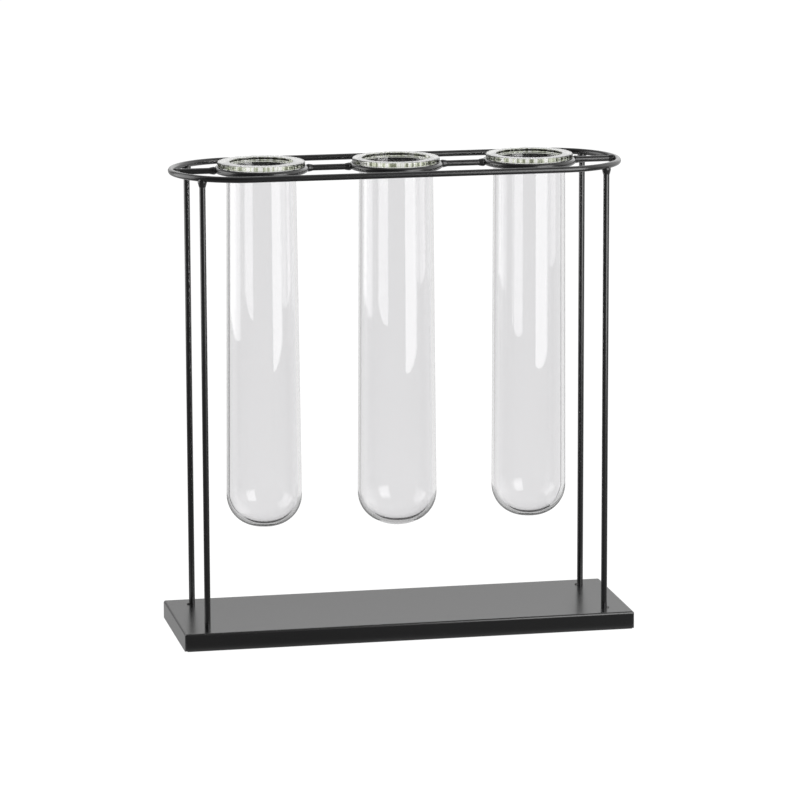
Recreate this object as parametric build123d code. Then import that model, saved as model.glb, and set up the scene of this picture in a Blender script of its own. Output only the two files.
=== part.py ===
"""Test tube vase: three glass tubes hung by their lips in a welded wire rack on a folded sheet tray.

Millimetres, +Z up. The origin is on the floor under the middle of the tray, X runs along the
row of tubes and -Y is the front.
"""

import math
import os

from build123d import *

# Glass tubes, hand drawn, so each has its own neck, belly and length
left_neck_diameter = 45.2
left_belly_diameter = 49.6
left_tube_length = 241.9
middle_neck_diameter = 48.4
middle_belly_diameter = 52.2
middle_tube_length = 244.4
right_neck_diameter = 47.4
right_belly_diameter = 49.2
right_tube_length = 242.8
bottom_crown_radius = 32.0
bottom_knuckle_radius = 20.5
glass_wall = 2.0
glass_bottom = 2.8

# Flat lip, pressed out at a right angle and softened by the flame
lip_thickness = 3.2
lip_overhang = 1.8
lip_edge_radius = 0.8
lip_flare_radius = 0.5
lip_least_flat = 0.3
mouth_radius = 0.4

# How the tubes pass through and rest on their rings
ring_clearance = 0.6
seat_clearance = 0.2

# Wire rack
wire_diameter = 4.0
rack_height = 309.0
ring_spacing_gap = 27.6
ring_end_gap = 25.9
ring_side_gap = 12.8
leg_angle = 47.5

# Folded sheet tray
tray_height = 11.6
tray_end_margin = 0.4
tray_side_margin = 1.0
sheet_thickness = 1.2
fold_inner_radius = 0.4

# Welds
weld_penetration = 0.5
weld_edge = 0.2
link_weld_build = 0.6
link_weld_length = 2.4
leg_weld_build = 1.0
leg_weld_length = 3.0
foot_bead_radius = 0.9
foot_bead_length = 1.6
corner_weld_notch = 0.4

# Rings, sized so that the widest tube passes through them
tube_sizes = {
    "left": (left_neck_diameter, left_belly_diameter, left_tube_length),
    "middle": (middle_neck_diameter, middle_belly_diameter, middle_tube_length),
    "right": (right_neck_diameter, right_belly_diameter, right_tube_length),
}
widest_diameter = max(max(neck, belly) for neck, belly, _ in tube_sizes.values())
wire_radius = wire_diameter / 2
ring_bore_radius = widest_diameter / 2 + ring_clearance
ring_radius = ring_bore_radius + wire_radius
ring_outer_radius = ring_bore_radius + wire_diameter
ring_pitch = 2 * ring_outer_radius + ring_spacing_gap
ring_places = {"left": -ring_pitch, "middle": 0.0, "right": ring_pitch}

# Hoop round the rings, measured over the wire
hoop_half_length = ring_pitch + ring_outer_radius + ring_end_gap + wire_diameter
hoop_half_depth = ring_outer_radius + ring_side_gap + wire_diameter
hoop_bend_radius = hoop_half_depth - wire_radius
hoop_bend_place = hoop_half_length - hoop_half_depth

# Tray under the hoop
tray_half_length = hoop_half_length + tray_end_margin
tray_half_depth = hoop_half_depth + tray_side_margin
fold_radius = fold_inner_radius + sheet_thickness

# The lower round of the lip's edge rests on the ring wire, with its centre this far above the wire's
lip_radius = ring_bore_radius + lip_overhang
lip_edge_place = lip_radius - lip_edge_radius
seat_reach = wire_radius + lip_edge_radius + seat_clearance
seat_offset = max(0.0, ring_radius - lip_edge_place)
seat_rise = math.sqrt(seat_reach**2 - seat_offset**2)

# Heights
wire_height = rack_height - wire_radius
lip_under_height = wire_height + seat_rise - lip_edge_radius
lip_top_height = lip_under_height + lip_thickness

# Legs stand under the hoop's rounded ends
leg_x = hoop_bend_place + hoop_bend_radius * math.cos(math.radians(leg_angle))
leg_y = hoop_bend_radius * math.sin(math.radians(leg_angle))
leg_top_height = wire_height - wire_radius + weld_penetration


def straight_wire(start, end):
    """A length of wire between two points, cut square at both ends."""
    run = Line(start, end)
    return extrude(Plane(origin=start, z_dir=run % 0) * Circle(wire_radius), run.length)


def bent_wire(path):
    """A wire that follows a closed path."""
    return sweep(Plane(origin=path @ 0, z_dir=path % 0) * Circle(wire_radius), path=path)


def make_tray():
    """One sheet with four edges folded down and the corners left open for welding."""
    flat_half_length = tray_half_length - fold_radius
    flat_half_depth = tray_half_depth - fold_radius
    flat = Pos(0, 0, tray_height - sheet_thickness / 2) * Box(
        2 * flat_half_length, 2 * flat_half_depth, sheet_thickness
    )

    def folded_edge(half_width, half_run):
        """One flange and its fold, standing at +X and running along Y."""
        fold_place = half_width - fold_radius
        fold_height = tray_height - fold_radius
        outside = CenterArc((fold_place, fold_height), fold_radius, 90, -90)
        inside = CenterArc((fold_place, fold_height), fold_inner_radius, 0, 90)
        flange = Polyline(outside @ 1, (half_width, 0), (half_width - sheet_thickness, 0), inside @ 0)
        profile = make_face([outside, flange, inside, Line(inside @ 1, outside @ 0)])
        return extrude(Plane.XZ * profile, half_run, both=True)

    end_edge = folded_edge(tray_half_length, flat_half_depth)
    side_edge = Rot(0, 0, 90) * folded_edge(tray_half_depth, flat_half_length)
    half_turn = Rot(0, 0, 180)
    return flat + end_edge + half_turn * end_edge + side_edge + half_turn * side_edge


def make_tray_corner_weld(side_x, side_y):
    """Weld metal ground to a ball corner, which stops short of the floor."""
    crown = CenterArc((0, tray_height - fold_radius), fold_radius, 0, 90)
    sides = Polyline(crown @ 1, (0, corner_weld_notch), (fold_radius, corner_weld_notch), crown @ 0)
    quarter = revolve(Plane.XZ * make_face([crown, sides]), Axis.Z, 90)
    quarter_turns = {(1, 1): 0, (-1, 1): 90, (-1, -1): 180, (1, -1): 270}
    corner = Pos(side_x * (tray_half_length - fold_radius), side_y * (tray_half_depth - fold_radius), 0)
    return corner * Rot(0, 0, quarter_turns[side_x, side_y]) * quarter


def make_hoop():
    """The stadium-shaped top hoop."""
    outline = SlotCenterToCenter(2 * hoop_bend_place, 2 * hoop_bend_radius).wire()
    return bent_wire(Pos(0, 0, wire_height) * outline)


def make_ring(place):
    """A ring that carries one tube."""
    return Pos(place, 0, wire_height) * Torus(ring_radius, wire_radius)


def make_link(start, end, neighbours):
    """A wire along the middle of the rack, upset a little into the wires it is welded to."""
    sunk_start = (start - weld_penetration, 0, wire_height)
    sunk_end = (end + weld_penetration, 0, wire_height)
    link = straight_wire(sunk_start, sunk_end)
    for neighbour in neighbours:
        link -= neighbour
    return link


def make_leg(side_x, side_y, hoop):
    """A leg from the top of the tray to the underside of the hoop."""
    place = (side_x * leg_x, side_y * leg_y)
    return straight_wire((*place, tray_height), (*place, leg_top_height)) - hoop


def make_weld(contact, direction, build, length, wires):
    """A drop of weld metal round a wire's end, full where it meets another wire and tapering away from it."""
    crown = CenterArc((0, 0), wire_radius + build, -90, 90)
    taper = Polyline(crown @ 1, (wire_radius + weld_edge, length), (0, length), crown @ 0)
    drop = revolve(Plane.XZ * make_face([crown, taper]), Axis.Z)
    weld = Plane(origin=contact, z_dir=direction) * Pos(0, 0, weld_penetration) * drop
    for wire in wires:
        weld -= wire
    return weld


def make_foot_bead(side_x, side_y, tack_angle, leg):
    """A short bead of weld metal that runs out from a leg's foot over the tray."""
    run = wire_radius + foot_bead_length - foot_bead_radius
    nose = CenterArc((run, 0), foot_bead_radius, 0, 90)
    side = Polyline(nose @ 1, (0, foot_bead_radius), (0, 0), nose @ 0)
    bead = revolve(make_face([nose, side]), Axis.X, 180)
    return Pos(side_x * leg_x, side_y * leg_y, tray_height) * Rot(0, 0, tack_angle) * bead - leg


def dished_bottom(height, radius, crown_radius, knuckle_radius):
    """The arcs of a round bottom: a flattened crown on the axis and the knuckle up into the wall."""
    crown = Vector(0, height + crown_radius)
    knuckle_place = radius - knuckle_radius
    turn = math.asin(knuckle_place / (crown_radius - knuckle_radius))
    knuckle_drop = (crown_radius - knuckle_radius) * math.cos(turn)
    turn = math.degrees(turn)
    crown_arc = CenterArc(crown, crown_radius, -90, turn)
    knuckle_arc = CenterArc(crown + (knuckle_place, -knuckle_drop), knuckle_radius, turn - 90, 90 - turn)
    return crown_arc, knuckle_arc


def make_tube(place, neck_diameter, belly_diameter, length):
    """A round-bottomed glass tube with a flat lip, turned from one profile."""
    neck = neck_diameter / 2
    belly = belly_diameter / 2
    bore_neck = neck - glass_wall
    bore_belly = belly - glass_wall
    flare = min(lip_flare_radius, lip_edge_place - lip_least_flat - neck)
    mouth = min(mouth_radius, lip_edge_place - lip_least_flat - bore_neck)
    bottom_height = lip_top_height - length

    crown, knuckle = dished_bottom(bottom_height, belly, bottom_crown_radius, bottom_knuckle_radius)
    flare_arc = CenterArc((neck + flare, lip_under_height - flare), flare, 180, -90)
    lip_low = CenterArc((lip_edge_place, lip_under_height + lip_edge_radius), lip_edge_radius, -90, 90)
    lip_high = CenterArc((lip_edge_place, lip_top_height - lip_edge_radius), lip_edge_radius, 0, 90)
    mouth_arc = CenterArc((bore_neck + mouth, lip_top_height - mouth), mouth, 90, 90)
    bore_crown, bore_knuckle = dished_bottom(
        bottom_height + glass_bottom,
        bore_belly,
        bottom_crown_radius - glass_bottom,
        bottom_knuckle_radius - glass_wall,
    )
    arcs = [knuckle, flare_arc, lip_low, lip_high, mouth_arc]
    joins = [Line(arc @ 1, next_arc @ 0) for arc, next_arc in zip(arcs, arcs[1:])]
    bore = [Line(mouth_arc @ 1, bore_knuckle @ 1), bore_knuckle, bore_crown]
    on_axis = Line(bore_crown @ 0, crown @ 0)
    profile = make_face([crown, *arcs, *joins, *bore, on_axis])
    return Pos(place, 0, 0) * revolve(Plane.XZ * profile, Axis.Z)


# Tray, hoop and rings
nodes = {"base_tray": make_tray(), "top_hoop": make_hoop()}
hoop = nodes["top_hoop"]
rings = {side: make_ring(place) for side, place in ring_places.items()}
for side, ring in rings.items():
    nodes[f"ring_{side}"] = ring

# Links: from the hoop's left end through the three rings to its right end
hoop_inner_end = hoop_half_length - wire_diameter
outer_ring_far = ring_pitch + ring_outer_radius
outer_ring_near = ring_pitch - ring_outer_radius
link_spans = {
    "link_end_left": (-hoop_inner_end, -outer_ring_far, hoop, rings["left"]),
    "link_left_middle": (-outer_ring_near, -ring_outer_radius, rings["left"], rings["middle"]),
    "link_middle_right": (ring_outer_radius, outer_ring_near, rings["middle"], rings["right"]),
    "link_end_right": (outer_ring_far, hoop_inner_end, rings["right"], hoop),
}
link_weld_sizes = (link_weld_build, link_weld_length)
for name, (start, end, start_wire, end_wire) in link_spans.items():
    link = make_link(start, end, (start_wire, end_wire))
    nodes[name] = link
    weld_ends = {"left": (start, 1, start_wire), "right": (end, -1, end_wire)}
    for side, (place, inward, wire) in weld_ends.items():
        contact = (place, 0, wire_height)
        nodes[f"{name}_{side}_weld"] = make_weld(contact, (inward, 0, 0), *link_weld_sizes, (link, wire))

# Legs and tray corners, with the direction from each foot to its tack
corners = {"front_left": (-1, -1), "front_right": (1, -1), "back_left": (-1, 1), "back_right": (1, 1)}
foot_tack_angles = {"front_left": 90, "front_right": 0, "back_left": 180, "back_right": 180}
leg_weld_sizes = (leg_weld_build, leg_weld_length)
for name, (side_x, side_y) in corners.items():
    leg = make_leg(side_x, side_y, hoop)
    leg_top = (side_x * leg_x, side_y * leg_y, wire_height - wire_radius)
    nodes[f"leg_{name}"] = leg
    nodes[f"leg_{name}_top_weld"] = make_weld(leg_top, (0, 0, -1), *leg_weld_sizes, (leg, hoop))
    nodes[f"leg_{name}_foot_weld"] = make_foot_bead(side_x, side_y, foot_tack_angles[name], leg)
    nodes[f"tray_corner_weld_{name}"] = make_tray_corner_weld(side_x, side_y)

# Tubes
for side, sizes in tube_sizes.items():
    nodes[f"tube_{side}"] = make_tube(ring_places[side], *sizes)

os.makedirs("parts", exist_ok=True)
for name, shape in nodes.items():
    export_step(shape, f"parts/{name}.step")

print(f"tray {2 * tray_half_length:.2f} x {2 * tray_half_depth:.2f} x {tray_height:.2f}")
print(f"hoop {2 * hoop_half_length:.2f} x {2 * hoop_half_depth:.2f}, wire at {wire_height:.2f}")
print(f"ring bore {2 * ring_bore_radius:.2f}, pitch {ring_pitch:.2f}, lip {2 * lip_radius:.2f}")
print(f"overall height {lip_top_height:.2f}, legs at {leg_x:.2f}, {leg_y:.2f}")
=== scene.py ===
import math

import bpy
from mathutils import Matrix, Vector, noise


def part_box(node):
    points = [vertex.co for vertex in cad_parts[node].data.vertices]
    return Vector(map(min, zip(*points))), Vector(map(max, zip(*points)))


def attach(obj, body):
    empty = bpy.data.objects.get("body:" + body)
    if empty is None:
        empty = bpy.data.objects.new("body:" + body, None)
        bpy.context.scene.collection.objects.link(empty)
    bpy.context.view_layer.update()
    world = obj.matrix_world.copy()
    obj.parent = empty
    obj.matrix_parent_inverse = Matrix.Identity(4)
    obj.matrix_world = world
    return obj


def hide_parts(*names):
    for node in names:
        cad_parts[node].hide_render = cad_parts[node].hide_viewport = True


# Test tube vase: three glass tubes hung in a black wire rack on a folded tray.
# Metres, +Z up, the row of tubes runs along X and -Y is the front.
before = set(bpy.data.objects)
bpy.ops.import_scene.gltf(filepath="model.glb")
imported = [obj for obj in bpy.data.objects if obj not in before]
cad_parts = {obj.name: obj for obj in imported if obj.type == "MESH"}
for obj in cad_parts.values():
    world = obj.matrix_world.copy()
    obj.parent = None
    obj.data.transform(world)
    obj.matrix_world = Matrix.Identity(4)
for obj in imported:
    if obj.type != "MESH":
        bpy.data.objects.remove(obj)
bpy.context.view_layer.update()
MM = 0.001
SIDES = ("left", "middle", "right")

# Glass tubes, each with its own neck because they are drawn by hand
NECK_RADIUS = {"left": 22.6 * MM, "middle": 24.2 * MM, "right": 23.7 * MM}
BELLY_RADIUS = {"left": 24.8 * MM, "middle": 26.1 * MM, "right": 24.6 * MM}
BOTTOM_CROWN_RADIUS = 32.0 * MM
BOTTOM_KNUCKLE_RADIUS = 20.5 * MM
GLASS_WALL = 2.0 * MM
GLASS_BOTTOM = 2.8 * MM
LIP_THICKNESS = 3.2 * MM
LIP_EDGE_RADIUS = 0.8 * MM
LIP_FLARE_RADIUS = 0.5 * MM
LIP_LEAST_FLAT = 0.3 * MM
MOUTH_RADIUS = 0.4 * MM
TUBE_SEGMENTS = 360
ARC_STEP = math.radians(6)
WALL_CUTS = 11
MERGE_DISTANCE = 0.01 * MM

# Ripples that the tools leave in the lip's edge
RIPPLE_DEPTH = 0.25 * MM
RIPPLES_ROUND_LIP = 45

# Powder coat, and its orange peel on wire and sheet and on the welds: scale, strength and depth
COAT_COLOR = (0.006, 0.006, 0.0063, 1)
COAT_IOR = 1.9
COAT_ROUGHNESS = 0.25
SMOOTH_PEEL = (900, 0.12, 0.1 * MM)
WELD_PEEL = (700, 0.8, 0.4 * MM)
PEEL_DETAIL = 3

# Glass, clear in the body and greenish in the lip, and the colours of the painted streaks of light and shade
# in the lip's edge
GLASS_IOR = 1.5
BODY_COLOR = (0.965, 0.962, 0.968, 1)
LIP_COLOR = (0.95, 0.96, 0.90, 1)
PAINTED_STREAK_SCALE = 420
PAINTED_STREAK_DETAIL = 2
# Painted light and shade in the lip's edge: the darkest colour is a painted reflection of the dark rack and
# surroundings, the greenish ones a painted glow of light led along the lip, and the white one a painted
# highlight
PAINTED_LIGHT_STREAK_COLORS = (
    (0.42, (0.08, 0.09, 0.05, 1)),
    (0.45, (0.42, 0.47, 0.30, 1)),
    (0.52, (0.62, 0.68, 0.46, 1)),
    (0.55, (1, 1, 0.98, 1)),
)

# Camera at the photograph's angle
CAMERA_AZIMUTH = math.radians(-11.358)
CAMERA_ELEVATION = math.radians(11.165)
CAMERA_ROLL = math.radians(-0.195)
CAMERA_DISTANCE = 2.8882
CAMERA_TARGET = Vector((2.164 * MM, 0, 150.803 * MM))
CAMERA_LENS = 197.378
SENSOR_WIDTH = 36.0
CAMERA_SIDE = (math.sin(CAMERA_AZIMUTH), -math.cos(CAMERA_AZIMUTH), 0)
CAMERA_RIGHT = (math.cos(CAMERA_AZIMUTH), math.sin(CAMERA_AZIMUTH), 0)

# Studio: how bright it is to the camera, through glass and in mirror reflections. A fade gives the two places
# between which the brightness changes, and the pair that goes with it the brightness at each.
UP = (0, 0, 1)
FRONT = (0, -1, 0)
FLOOR_SIZE = 40
FLOOR_DROP = 0.1 * MM
FLOOR_COLOR = (0.12, 0.12, 0.12, 1)
FLOOR_SEEN = 0.95
FLOOR_BEHIND_GLASS = (0.79, 0.55)
FLOOR_GLASS_FADE = (0.6, 0.85)
FLOOR_FADE = (-0.6, 0.1)
FLOOR_SIDE_FADE = (-0.52, -0.40)
FLOOR_SIDE_MIRRORED = (0.7, 1.0)
FLOOR_MIRRORED = (0.8, 0.08)
TRAY_FRONT_FADE = (0.046, 0.060)
TRAY_MIRRORED = (0.53, 0.03)
TRAY_SURROUND = (0.2, 0.3)
WORLD_SEEN = 1.05
WORLD_BEHIND_GLASS = 0.855
WORLD_FADE = (-0.3, 0.6)
WORLD_MIRRORED = (1.0, 0.1)
WORLD_RISE = (0.35, 0.65)
WORLD_MIRRORED_RISE = (0.63, 0.45)
WORLD_SIDE_FADE = (-1, 1)
WORLD_MIRRORED_SIDES = (0.4, 1.8)

# Light panels: both ends on the floor plan, the lower and upper edge, and the radiance
RIGHT_SOFTBOX_ENDS = ((0.182, -0.624), (0.595, -0.457))
RIGHT_SOFTBOX_EDGES = (0.065, 0.25)
RIGHT_SOFTBOX_RADIANCE = 2.6
RIGHT_CORE_RADIANCE = 2.8
LEFT_SOFTBOX_ENDS = ((-0.587, -0.044), (-0.513, 0.424))
LEFT_SOFTBOX_EDGES = (0.118, 0.25)
LEFT_SOFTBOX_RADIANCE = 1.75
LEFT_CORE_RADIANCE = 1.6
CORE_EDGES = (0.25, 0.75)
BACK_CARD_ENDS = ((-0.489, 1.118), (0.883, 0.842))
BACK_CARD_EDGES = (0.40, 1.0)
BACK_CARD_RADIANCE = 0.75


def deselect_all():
    """Leaves no object selected, so that an operator acts on the new piece alone."""
    bpy.ops.object.select_all(action="DESELECT")


def new_material(name):
    """A new material with its node tree, its Principled shader and its output."""
    material = bpy.data.materials.new(name)
    material.use_nodes = True
    tree = material.node_tree
    return material, tree, tree.nodes["Principled BSDF"], tree.nodes["Material Output"]


def add_math(tree, operation, first, second):
    """A math node; each side is a number or another node's output."""
    node = tree.nodes.new("ShaderNodeMath")
    node.operation = operation
    for socket, value in zip(node.inputs, (first, second)):
        if isinstance(value, (int, float)):
            socket.default_value = value
        else:
            tree.links.new(value, socket)
    return node.outputs["Value"]


def add_blend(tree, factor, without, full):
    """A value that goes from one number or output to another as the factor goes from 0 to 1."""
    node = tree.nodes.new("ShaderNodeMix")
    for name, value in (("Factor", factor), ("A", without), ("B", full)):
        if isinstance(value, (int, float)):
            node.inputs[name].default_value = value
        else:
            tree.links.new(value, node.inputs[name])
    return node.outputs["Result"]


def add_slope(tree, vector, direction, ends, values):
    """A value that changes along a direction, between two distances, and is level beyond them."""
    dot = tree.nodes.new("ShaderNodeVectorMath")
    dot.operation = "DOT_PRODUCT"
    dot.inputs[1].default_value = direction
    tree.links.new(vector, dot.inputs[0])
    ramp = tree.nodes.new("ShaderNodeMapRange")
    ramp.interpolation_type = "SMOOTHSTEP"
    ramp.inputs["From Min"].default_value, ramp.inputs["From Max"].default_value = ends
    ramp.inputs["To Min"].default_value, ramp.inputs["To Max"].default_value = values
    tree.links.new(dot.outputs["Value"], ramp.inputs["Value"])
    return ramp.outputs["Result"]


def make_powder_coat(name, peel_scale, peel_strength, peel_depth):
    """Satin black powder coat with an orange-peel skin, which shows the lumps of what it covers."""
    material, tree, coat, _ = new_material(name)
    nodes, links = tree.nodes, tree.links
    place = nodes.new("ShaderNodeTexCoord")
    peel = nodes.new("ShaderNodeTexNoise")
    peel.inputs["Scale"].default_value = peel_scale
    peel.inputs["Detail"].default_value = PEEL_DETAIL
    links.new(place.outputs["Object"], peel.inputs["Vector"])
    bump = nodes.new("ShaderNodeBump")
    bump.inputs["Strength"].default_value = peel_strength
    bump.inputs["Distance"].default_value = peel_depth
    links.new(peel.outputs["Fac"], bump.inputs["Height"])
    links.new(bump.outputs["Normal"], coat.inputs["Normal"])
    coat.inputs["Base Color"].default_value = COAT_COLOR
    coat.inputs["IOR"].default_value = COAT_IOR
    coat.inputs["Roughness"].default_value = COAT_ROUGHNESS
    return material


def make_clear_glass():
    """Clear soda glass, greenish in the lip. Its rippled edge carries upright streaks of painted reflection,
    painted edge glow and painted shade in its base colour.
    """
    material, tree, glass, _ = new_material("clear_glass")
    nodes, links = tree.nodes, tree.links
    place = nodes.new("ShaderNodeTexCoord")
    lip_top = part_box("tube_left")[1].z
    lip_ends = (lip_top - LIP_THICKNESS - LIP_FLARE_RADIUS, lip_top - LIP_THICKNESS)
    in_lip = add_slope(tree, place.outputs["Object"], UP, lip_ends, (0, 1))
    upright = nodes.new("ShaderNodeVectorMath")
    upright.operation = "MULTIPLY"
    upright.inputs[1].default_value = (1, 1, 0)
    links.new(place.outputs["Object"], upright.inputs[0])
    # Painted light and shade: noise across the upright directions picks the painted streak colours, which are
    # dark painted reflections, greenish painted edge glow and white painted highlights
    painted_streaks = nodes.new("ShaderNodeTexNoise")
    painted_streaks.inputs["Scale"].default_value = PAINTED_STREAK_SCALE
    painted_streaks.inputs["Detail"].default_value = PAINTED_STREAK_DETAIL
    links.new(upright.outputs["Vector"], painted_streaks.inputs["Vector"])
    painted_streak_colors = nodes.new("ShaderNodeValToRGB")
    steps = painted_streak_colors.color_ramp.elements
    first, *between, last = PAINTED_LIGHT_STREAK_COLORS
    steps[0].position, steps[0].color = first
    steps[1].position, steps[1].color = last
    for position, color in between:
        steps.new(position).color = color
    links.new(painted_streaks.outputs["Fac"], painted_streak_colors.inputs["Fac"])
    edge = nodes.new("ShaderNodeAttribute")
    edge.attribute_name = "lip_edge"

    def add_tint(factor, without, full):
        """A colour between two, each a fixed colour or another node's output."""
        tint = nodes.new("ShaderNodeMix")
        tint.data_type = "RGBA"
        links.new(factor, tint.inputs["Factor"])
        # In a mix of colours, sockets 6 and 7 are the two colours and output 2 is the result
        for socket, color in ((tint.inputs[6], without), (tint.inputs[7], full)):
            if isinstance(color, tuple):
                socket.default_value = color
            else:
                links.new(color, socket)
        return tint.outputs[2]

    plain_color = add_tint(in_lip, BODY_COLOR, LIP_COLOR)
    # Where the lip_edge attribute marks the edge, the painted streaks of light and shade take the place of
    # the glass's own colour
    glass_color = add_tint(edge.outputs["Fac"], plain_color, painted_streak_colors.outputs["Color"])
    links.new(glass_color, glass.inputs["Base Color"])
    glass.inputs["Transmission Weight"].default_value = 1.0
    glass.inputs["IOR"].default_value = GLASS_IOR
    glass.inputs["Roughness"].default_value = 0.0
    return material


def start_profile(name, start):
    """A new mesh of one point, in edit mode, from which a profile is drawn."""
    deselect_all()
    bpy.ops.mesh.primitive_plane_add(size=MM, location=start)
    piece = bpy.context.object
    piece.name = piece.data.name = name
    bpy.ops.object.transform_apply(location=True, rotation=True, scale=True)
    bpy.ops.object.mode_set(mode="EDIT")
    bpy.ops.mesh.select_mode(type="VERT")
    bpy.ops.mesh.select_all(action="SELECT")
    bpy.ops.mesh.merge(type="CENTER")
    return piece


def draw_line(move, cuts=1):
    """Extrudes the end of the profile straight, in equal steps."""
    for _ in range(cuts):
        bpy.ops.mesh.extrude_region_move(TRANSFORM_OT_translate={"value": Vector(move) / cuts})


def draw_arc(center, angle):
    """Spins the end of the profile round a center in the XZ plane; a positive angle turns from X to Z."""
    steps = max(2, math.ceil(abs(angle) / ARC_STEP))
    bpy.ops.mesh.spin(steps=steps, angle=angle, center=center, axis=(0, 1, 0))


def dished_bottom(height, radius, crown_radius, knuckle_radius):
    """A round bottom's two arcs: the heights of the crown's and the knuckle's centres, the distance of the
    knuckle's centre from the axis, and the angle at which the arcs meet."""
    knuckle_place = radius - knuckle_radius
    turn = math.asin(knuckle_place / (crown_radius - knuckle_radius))
    crown_height = height + crown_radius
    knuckle_height = crown_height - (crown_radius - knuckle_radius) * math.cos(turn)
    return crown_height, knuckle_height, knuckle_place, turn


def ripple_lip(tube, axis_x, lip_place, lip_under, seed):
    """Presses irregular upright ripples into the lip's edge and marks the edge where the glass's painted
    streaks of light and shade go.
    """
    reach = RIPPLES_ROUND_LIP / math.pi
    edge = tube.data.attributes.new("lip_edge", "FLOAT", "POINT")
    for index, vertex in enumerate(tube.data.vertices):
        spoke = Vector((vertex.co.x - axis_x, vertex.co.y, 0))
        outward = spoke.length - lip_place
        if vertex.co.z < lip_under or outward <= 0:
            continue
        spoke.normalize()
        share = min(1, outward / LIP_EDGE_RADIUS)
        vertex.co += spoke * noise.noise(spoke * reach + Vector((0, 0, seed))) * RIPPLE_DEPTH * share
        # This weight also sets where the painted streaks of light and shade replace the glass colour
        edge.data[index].value = share


def make_tube(side, glass):
    """A round-bottomed tube with a flat, flame-softened lip, turned from one drawn profile."""
    node = f"tube_{side}"
    low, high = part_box(node)
    axis_x = (low.x + high.x) / 2
    lip_radius = (high.x - low.x) / 2
    neck, belly = NECK_RADIUS[side], BELLY_RADIUS[side]
    bore_neck, bore_belly = neck - GLASS_WALL, belly - GLASS_WALL
    lip_place = lip_radius - LIP_EDGE_RADIUS
    lip_under = high.z - LIP_THICKNESS
    flare = min(LIP_FLARE_RADIUS, lip_place - LIP_LEAST_FLAT - neck)
    mouth = min(MOUTH_RADIUS, lip_place - LIP_LEAST_FLAT - bore_neck)
    quarter = math.pi / 2

    def at(radius, height):
        return Vector((axis_x + radius, 0, height))

    crown_height, knuckle_height, knuckle_place, turn = dished_bottom(
        low.z, belly, BOTTOM_CROWN_RADIUS, BOTTOM_KNUCKLE_RADIUS
    )
    tube = start_profile(f"glass_tube_{side}", at(0, low.z))
    draw_arc(at(0, crown_height), turn)
    draw_arc(at(knuckle_place, knuckle_height), quarter - turn)
    draw_line(at(neck, lip_under - flare) - at(belly, knuckle_height), WALL_CUTS)
    draw_arc(at(neck + flare, lip_under - flare), -quarter)
    draw_line(at(lip_place, lip_under) - at(neck + flare, lip_under))
    draw_arc(at(lip_place, lip_under + LIP_EDGE_RADIUS), quarter)
    draw_line((0, 0, LIP_THICKNESS - 2 * LIP_EDGE_RADIUS))
    draw_arc(at(lip_place, high.z - LIP_EDGE_RADIUS), quarter)
    draw_line(at(bore_neck + mouth, high.z) - at(lip_place, high.z))
    draw_arc(at(bore_neck + mouth, high.z - mouth), quarter)
    crown_height, knuckle_height, knuckle_place, turn = dished_bottom(
        low.z + GLASS_BOTTOM,
        bore_belly,
        BOTTOM_CROWN_RADIUS - GLASS_BOTTOM,
        BOTTOM_KNUCKLE_RADIUS - GLASS_WALL,
    )
    draw_line(at(bore_belly, knuckle_height) - at(bore_neck, high.z - mouth), WALL_CUTS)
    draw_arc(at(knuckle_place, knuckle_height), turn - quarter)
    draw_arc(at(0, crown_height), -turn)
    bpy.ops.mesh.select_all(action="SELECT")
    bpy.ops.mesh.spin(steps=TUBE_SEGMENTS, angle=2 * math.pi, center=at(0, low.z), axis=UP)
    bpy.ops.mesh.select_all(action="SELECT")
    bpy.ops.mesh.remove_doubles(threshold=MERGE_DISTANCE)
    bpy.ops.mesh.normals_make_consistent(inside=False)
    bpy.ops.object.mode_set(mode="OBJECT")
    bpy.ops.object.shade_smooth()
    ripple_lip(tube, axis_x, lip_place, lip_under, SIDES.index(side))
    tube.data.materials.append(glass)
    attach(tube, f"{side}_tube")
    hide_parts(node)


def paint_rack():
    """Puts the powder coat on every node of the stand: smooth on wire and sheet, lumpy on the welds."""
    smooth_coat = make_powder_coat("black_powder_coat", *SMOOTH_PEEL)
    weld_coat = make_powder_coat("black_powder_coat_on_welds", *WELD_PEEL)
    for name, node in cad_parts.items():
        if not name.startswith("tube_"):
            node.data.materials.clear()
            node.data.materials.append(weld_coat if "weld" in name else smooth_coat)


def add_ray_switches(tree):
    """Whether a ray comes straight from the camera, and whether it has been mirrored on its way."""
    path = tree.nodes.new("ShaderNodeLightPath")
    mirrored = add_math(tree, "GREATER_THAN", path.outputs["Glossy Depth"], 0.5)
    return path.outputs["Is Camera Ray"], mirrored


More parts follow.
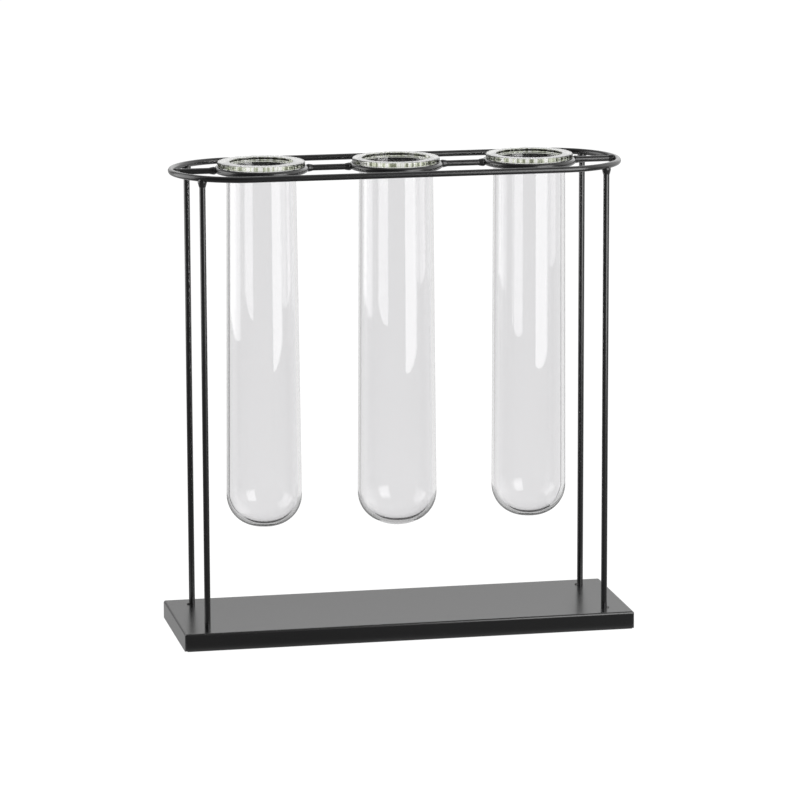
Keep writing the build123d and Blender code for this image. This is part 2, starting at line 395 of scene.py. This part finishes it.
def make_floor():
    """A large pale floor that glows a little. Through glass it is dimmer at the right. In mirror
    reflections it is dim on the camera's side and a little dim at the left, and the floor round
    the tray fades at the tray's front."""
    deselect_all()
    bpy.ops.mesh.primitive_plane_add(size=FLOOR_SIZE, location=(0, 0, -FLOOR_DROP))
    floor = bpy.context.object
    floor.name = "studio_floor"
    material, tree, shader, output = new_material("pale_floor")
    nodes, links = tree.nodes, tree.links
    nodes.remove(shader)
    diffuse = nodes.new("ShaderNodeBsdfDiffuse")
    diffuse.inputs["Color"].default_value = FLOOR_COLOR
    place = nodes.new("ShaderNodeNewGeometry")
    bearing = nodes.new("ShaderNodeVectorMath")
    bearing.operation = "NORMALIZE"
    links.new(place.outputs["Position"], bearing.inputs[0])
    seen, mirrored = add_ray_switches(tree)
    far = add_slope(tree, bearing.outputs["Vector"], CAMERA_SIDE, FLOOR_FADE, FLOOR_MIRRORED)
    aside = add_slope(tree, bearing.outputs["Vector"], CAMERA_RIGHT, FLOOR_SIDE_FADE, FLOOR_SIDE_MIRRORED)
    beside_tray = add_slope(tree, place.outputs["Position"], FRONT, TRAY_FRONT_FADE, TRAY_MIRRORED)
    distance = nodes.new("ShaderNodeVectorMath")
    distance.operation = "LENGTH"
    links.new(place.outputs["Position"], distance.inputs[0])
    farness = nodes.new("ShaderNodeMapRange")
    farness.inputs["From Min"].default_value, farness.inputs["From Max"].default_value = TRAY_SURROUND
    links.new(distance.outputs["Value"], farness.inputs["Value"])
    away_from_tray = add_math(tree, "MULTIPLY", far, aside)
    reflected = add_blend(tree, farness.outputs["Result"], beside_tray, away_from_tray)
    through = add_slope(tree, bearing.outputs["Vector"], CAMERA_RIGHT, FLOOR_GLASS_FADE, FLOOR_BEHIND_GLASS)
    unseen = add_blend(tree, mirrored, through, reflected)
    glow = nodes.new("ShaderNodeEmission")
    links.new(add_blend(tree, seen, unseen, FLOOR_SEEN), glow.inputs["Strength"])
    both = nodes.new("ShaderNodeAddShader")
    links.new(diffuse.outputs["BSDF"], both.inputs[0])
    links.new(glow.outputs["Emission"], both.inputs[1])
    links.new(both.outputs["Shader"], output.inputs["Surface"])
    material.cycles.emission_sampling = "NONE"
    floor.data.materials.append(material)


def make_world():
    """Bright studio surroundings. In mirror reflections they are dim on the camera's side, at the
    left and high up."""
    world = bpy.data.worlds.new("studio")
    bpy.context.scene.world = world
    world.use_nodes = True
    tree = world.node_tree
    background = tree.nodes["Background"]
    background.inputs["Color"].default_value = (1, 1, 1, 1)
    place = tree.nodes.new("ShaderNodeTexCoord")
    seen, mirrored = add_ray_switches(tree)
    depth = add_slope(tree, place.outputs["Generated"], CAMERA_SIDE, WORLD_FADE, WORLD_MIRRORED)
    across = add_slope(tree, place.outputs["Generated"], CAMERA_RIGHT, WORLD_SIDE_FADE, WORLD_MIRRORED_SIDES)
    upward = add_slope(tree, place.outputs["Generated"], UP, WORLD_RISE, WORLD_MIRRORED_RISE)
    reflected = add_math(tree, "MULTIPLY", add_math(tree, "MULTIPLY", depth, across), upward)
    unseen = add_blend(tree, mirrored, WORLD_BEHIND_GLASS, reflected)
    tree.links.new(add_blend(tree, seen, unseen, WORLD_SEEN), background.inputs["Strength"])
    world.cycles.sampling_method = "NONE"


def make_panel(name, near, far, low, high, radiance, gloss_only=False):
    """An upright light panel between two points of the floor plan, facing the vase. One that is for
    gloss only shows in mirror reflections, and neither through glass nor as light on matt surfaces."""
    near, far = Vector((*near, 0)), Vector((*far, 0))
    along = (far - near).normalized()
    middle = (near + far) / 2
    facing = Vector((-along.y, along.x, 0))
    if facing.dot(-middle) < 0:
        facing = -facing
    width, height = (far - near).length, high - low
    light = bpy.data.lights.new(name, "AREA")
    light.shape = "RECTANGLE"
    light.size, light.size_y = width, height
    light.energy = radiance * math.pi * width * height
    panel = bpy.data.objects.new(name, light)
    bpy.context.scene.collection.objects.link(panel)
    panel.location = middle + Vector((0, 0, (low + high) / 2))
    panel.rotation_euler = facing.to_track_quat("-Z", "Y").to_euler()
    panel.visible_camera = False
    panel.visible_transmission = panel.visible_diffuse = not gloss_only


def make_camera():
    """The camera that took the picture: a long lens, a little above the rim and to the left."""
    data = bpy.data.cameras.new("camera")
    data.lens = CAMERA_LENS
    data.sensor_width = SENSOR_WIDTH
    camera = bpy.data.objects.new("camera", data)
    bpy.context.scene.collection.objects.link(camera)
    flat = math.cos(CAMERA_ELEVATION)
    back = Vector((
        math.sin(CAMERA_AZIMUTH) * flat,
        -math.cos(CAMERA_AZIMUTH) * flat,
        math.sin(CAMERA_ELEVATION),
    ))
    aim = (-back).to_track_quat("-Z", "Y").to_matrix() @ Matrix.Rotation(CAMERA_ROLL, 3, "Z")
    camera.matrix_world = Matrix.Translation(CAMERA_TARGET + back * CAMERA_DISTANCE) @ aim.to_4x4()
    bpy.context.scene.camera = camera


make_camera()
make_floor()
make_world()
make_panel("right_softbox", *RIGHT_SOFTBOX_ENDS, *RIGHT_SOFTBOX_EDGES, RIGHT_SOFTBOX_RADIANCE)
make_panel("right_softbox_core", *RIGHT_SOFTBOX_ENDS, *CORE_EDGES, RIGHT_CORE_RADIANCE)
make_panel("left_softbox", *LEFT_SOFTBOX_ENDS, *LEFT_SOFTBOX_EDGES, LEFT_SOFTBOX_RADIANCE)
make_panel("left_softbox_core", *LEFT_SOFTBOX_ENDS, *CORE_EDGES, LEFT_CORE_RADIANCE)
make_panel("back_card", *BACK_CARD_ENDS, *BACK_CARD_EDGES, BACK_CARD_RADIANCE, gloss_only=True)
bpy.context.scene.view_settings.view_transform = "Standard"
paint_rack()
clear_glass = make_clear_glass()
for side in SIDES:
    make_tube(side, clear_glass)
